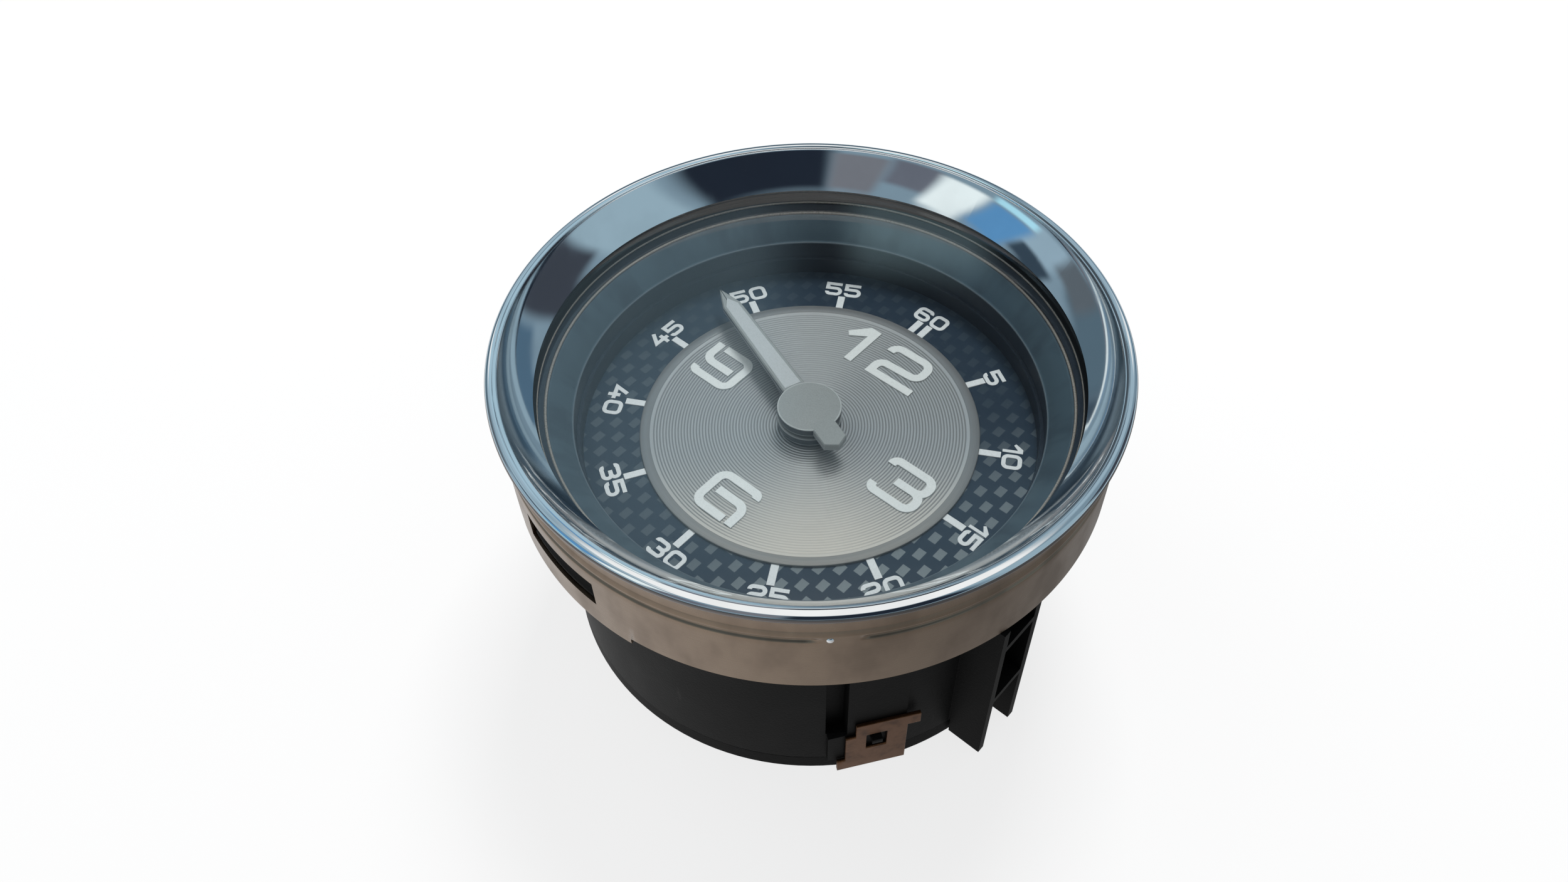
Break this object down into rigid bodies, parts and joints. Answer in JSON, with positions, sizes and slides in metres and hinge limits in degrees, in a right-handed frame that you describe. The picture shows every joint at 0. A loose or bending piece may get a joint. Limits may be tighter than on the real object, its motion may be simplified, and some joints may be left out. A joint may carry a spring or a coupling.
{
  "type": "dashboard clock",
  "caption": "Round plug-in dashboard clock with a bright flared bezel, deep dial, two geared hands, black drum housing, plug socket and spring clips.",
  "frame": {"origin": "middle of the rear cover's flat underside, on the axis of the hands", "axes": "+Z out of the face along the hands' axis, +Y towards twelve o'clock, +X towards three o'clock and the plug socket"},
  "size_m": [0.06, 0.06, 0.0348],
  "materials": {
    "bezel_chrome": "polished bright plate",
    "lens_clear": "clear polished",
    "black_rubber": "matt",
    "surround_grey": "satin moulded",
    "dial_print": "satin print with a fine check",
    "turned_disc": "concentric turned",
    "white_print": "print",
    "clear_plastic": "clear moulded",
    "housing_black": "fine moulded texture",
    "steel_screws": "zinc plated",
    "clip_steel": "bronzed spring sheet",
    "plate_plastic": "glass-filled moulding",
    "brass": "turned",
    "steel_arbors": "polished",
    "soft_iron": "stamped",
    "copper_wire": "enamelled winding",
    "board_green": "solder mask",
    "black_components": "moulded",
    "crystal_can": "drawn can",
    "lamp_body": "clear epoxy",
    "pin_plating": "plated",
    "wheel_plastic": "moulded",
    "hand_satin": "satin grey lacquer",
    "inlay_white": "translucent"
  },
  "bodies": {
    "case": {"bezel": "bezel_chrome", "lens": "lens_clear", "lens_gasket": "black_rubber", "dial_surround": "surround_grey", "dial_plate": "dial_print", "dial_disc": "turned_disc", "hour_marks": "white_print", "light_guide": "clear_plastic", "housing": "housing_black", "rear_cover": "housing_black", "rear_cover_screws": "steel_screws", "movement_screws": "steel_screws", "pillar_screws": "steel_screws", "stator_screws": "steel_screws", "retaining_clips": "clip_steel", "movement_front_plate": "plate_plastic", "movement_back_plate": "plate_plastic", "coil_bobbin": "plate_plastic", "movement_pillars": "brass", "centre_bush": "brass", "motion_post": "steel_arbors", "stator": "soft_iron", "coil_core": "soft_iron", "coil_winding": "copper_wire", "circuit_board": "board_green", "driver_chip": "black_components", "filter_capacitor": "black_components", "quartz_crystal": "crystal_can", "dial_lamps": "lamp_body", "connector_pins": "pin_plating"},
    "minute_group": {"minute_arbor": "steel_arbors", "centre_wheel": "wheel_plastic", "cannon_pinion": "wheel_plastic", "minute_hand": "hand_satin", "minute_hand_inlay": "inlay_white"},
    "hour_group": {"hour_wheel": "wheel_plastic", "hour_hand": "hand_satin", "hour_hand_inlay": "inlay_white"},
    "motion_group": {"motion_wheel": "wheel_plastic"},
    "intermediate_group": {"intermediate_arbor": "steel_arbors", "intermediate_wheel": "wheel_plastic"},
    "rotor_group": {"rotor_pinion": "steel_arbors", "rotor_magnet": "soft_iron"}
  },
  "joints": [
    {"name": "minute_hand_turn", "type": "hinge", "parent": "case", "child": "minute_group", "pos_m": [0, 0, 0.025], "axis": [0, 0, -1], "continuous": true},
    {"name": "hour_hand_turn", "type": "hinge", "parent": "case", "child": "hour_group", "pos_m": [0, 0, 0.024], "axis": [0, 0, -1], "continuous": true},
    {"name": "motion_wheel_turn", "type": "hinge", "parent": "case", "child": "motion_group", "pos_m": [0, -0.006, 0.0195], "axis": [0, 0, -1], "continuous": true},
    {"name": "intermediate_wheel_turn", "type": "hinge", "parent": "case", "child": "intermediate_group", "pos_m": [-0.00624, 0.0036, 0.014], "axis": [0, 0, -1], "continuous": true},
    {"name": "rotor_turn", "type": "hinge", "parent": "case", "child": "rotor_group", "pos_m": [-0.01144, -0.00077, 0.014], "axis": [0, 0, -1], "continuous": true}
  ],
  "couplings": [
    {"joint": "hour_hand_turn", "follows": "minute_hand_turn", "ratio": 0.083333},
    {"joint": "motion_wheel_turn", "follows": "minute_hand_turn", "ratio": -0.33333},
    {"joint": "intermediate_wheel_turn", "follows": "minute_hand_turn", "ratio": -8},
    {"joint": "rotor_turn", "follows": "minute_hand_turn", "ratio": 60}
  ]
}
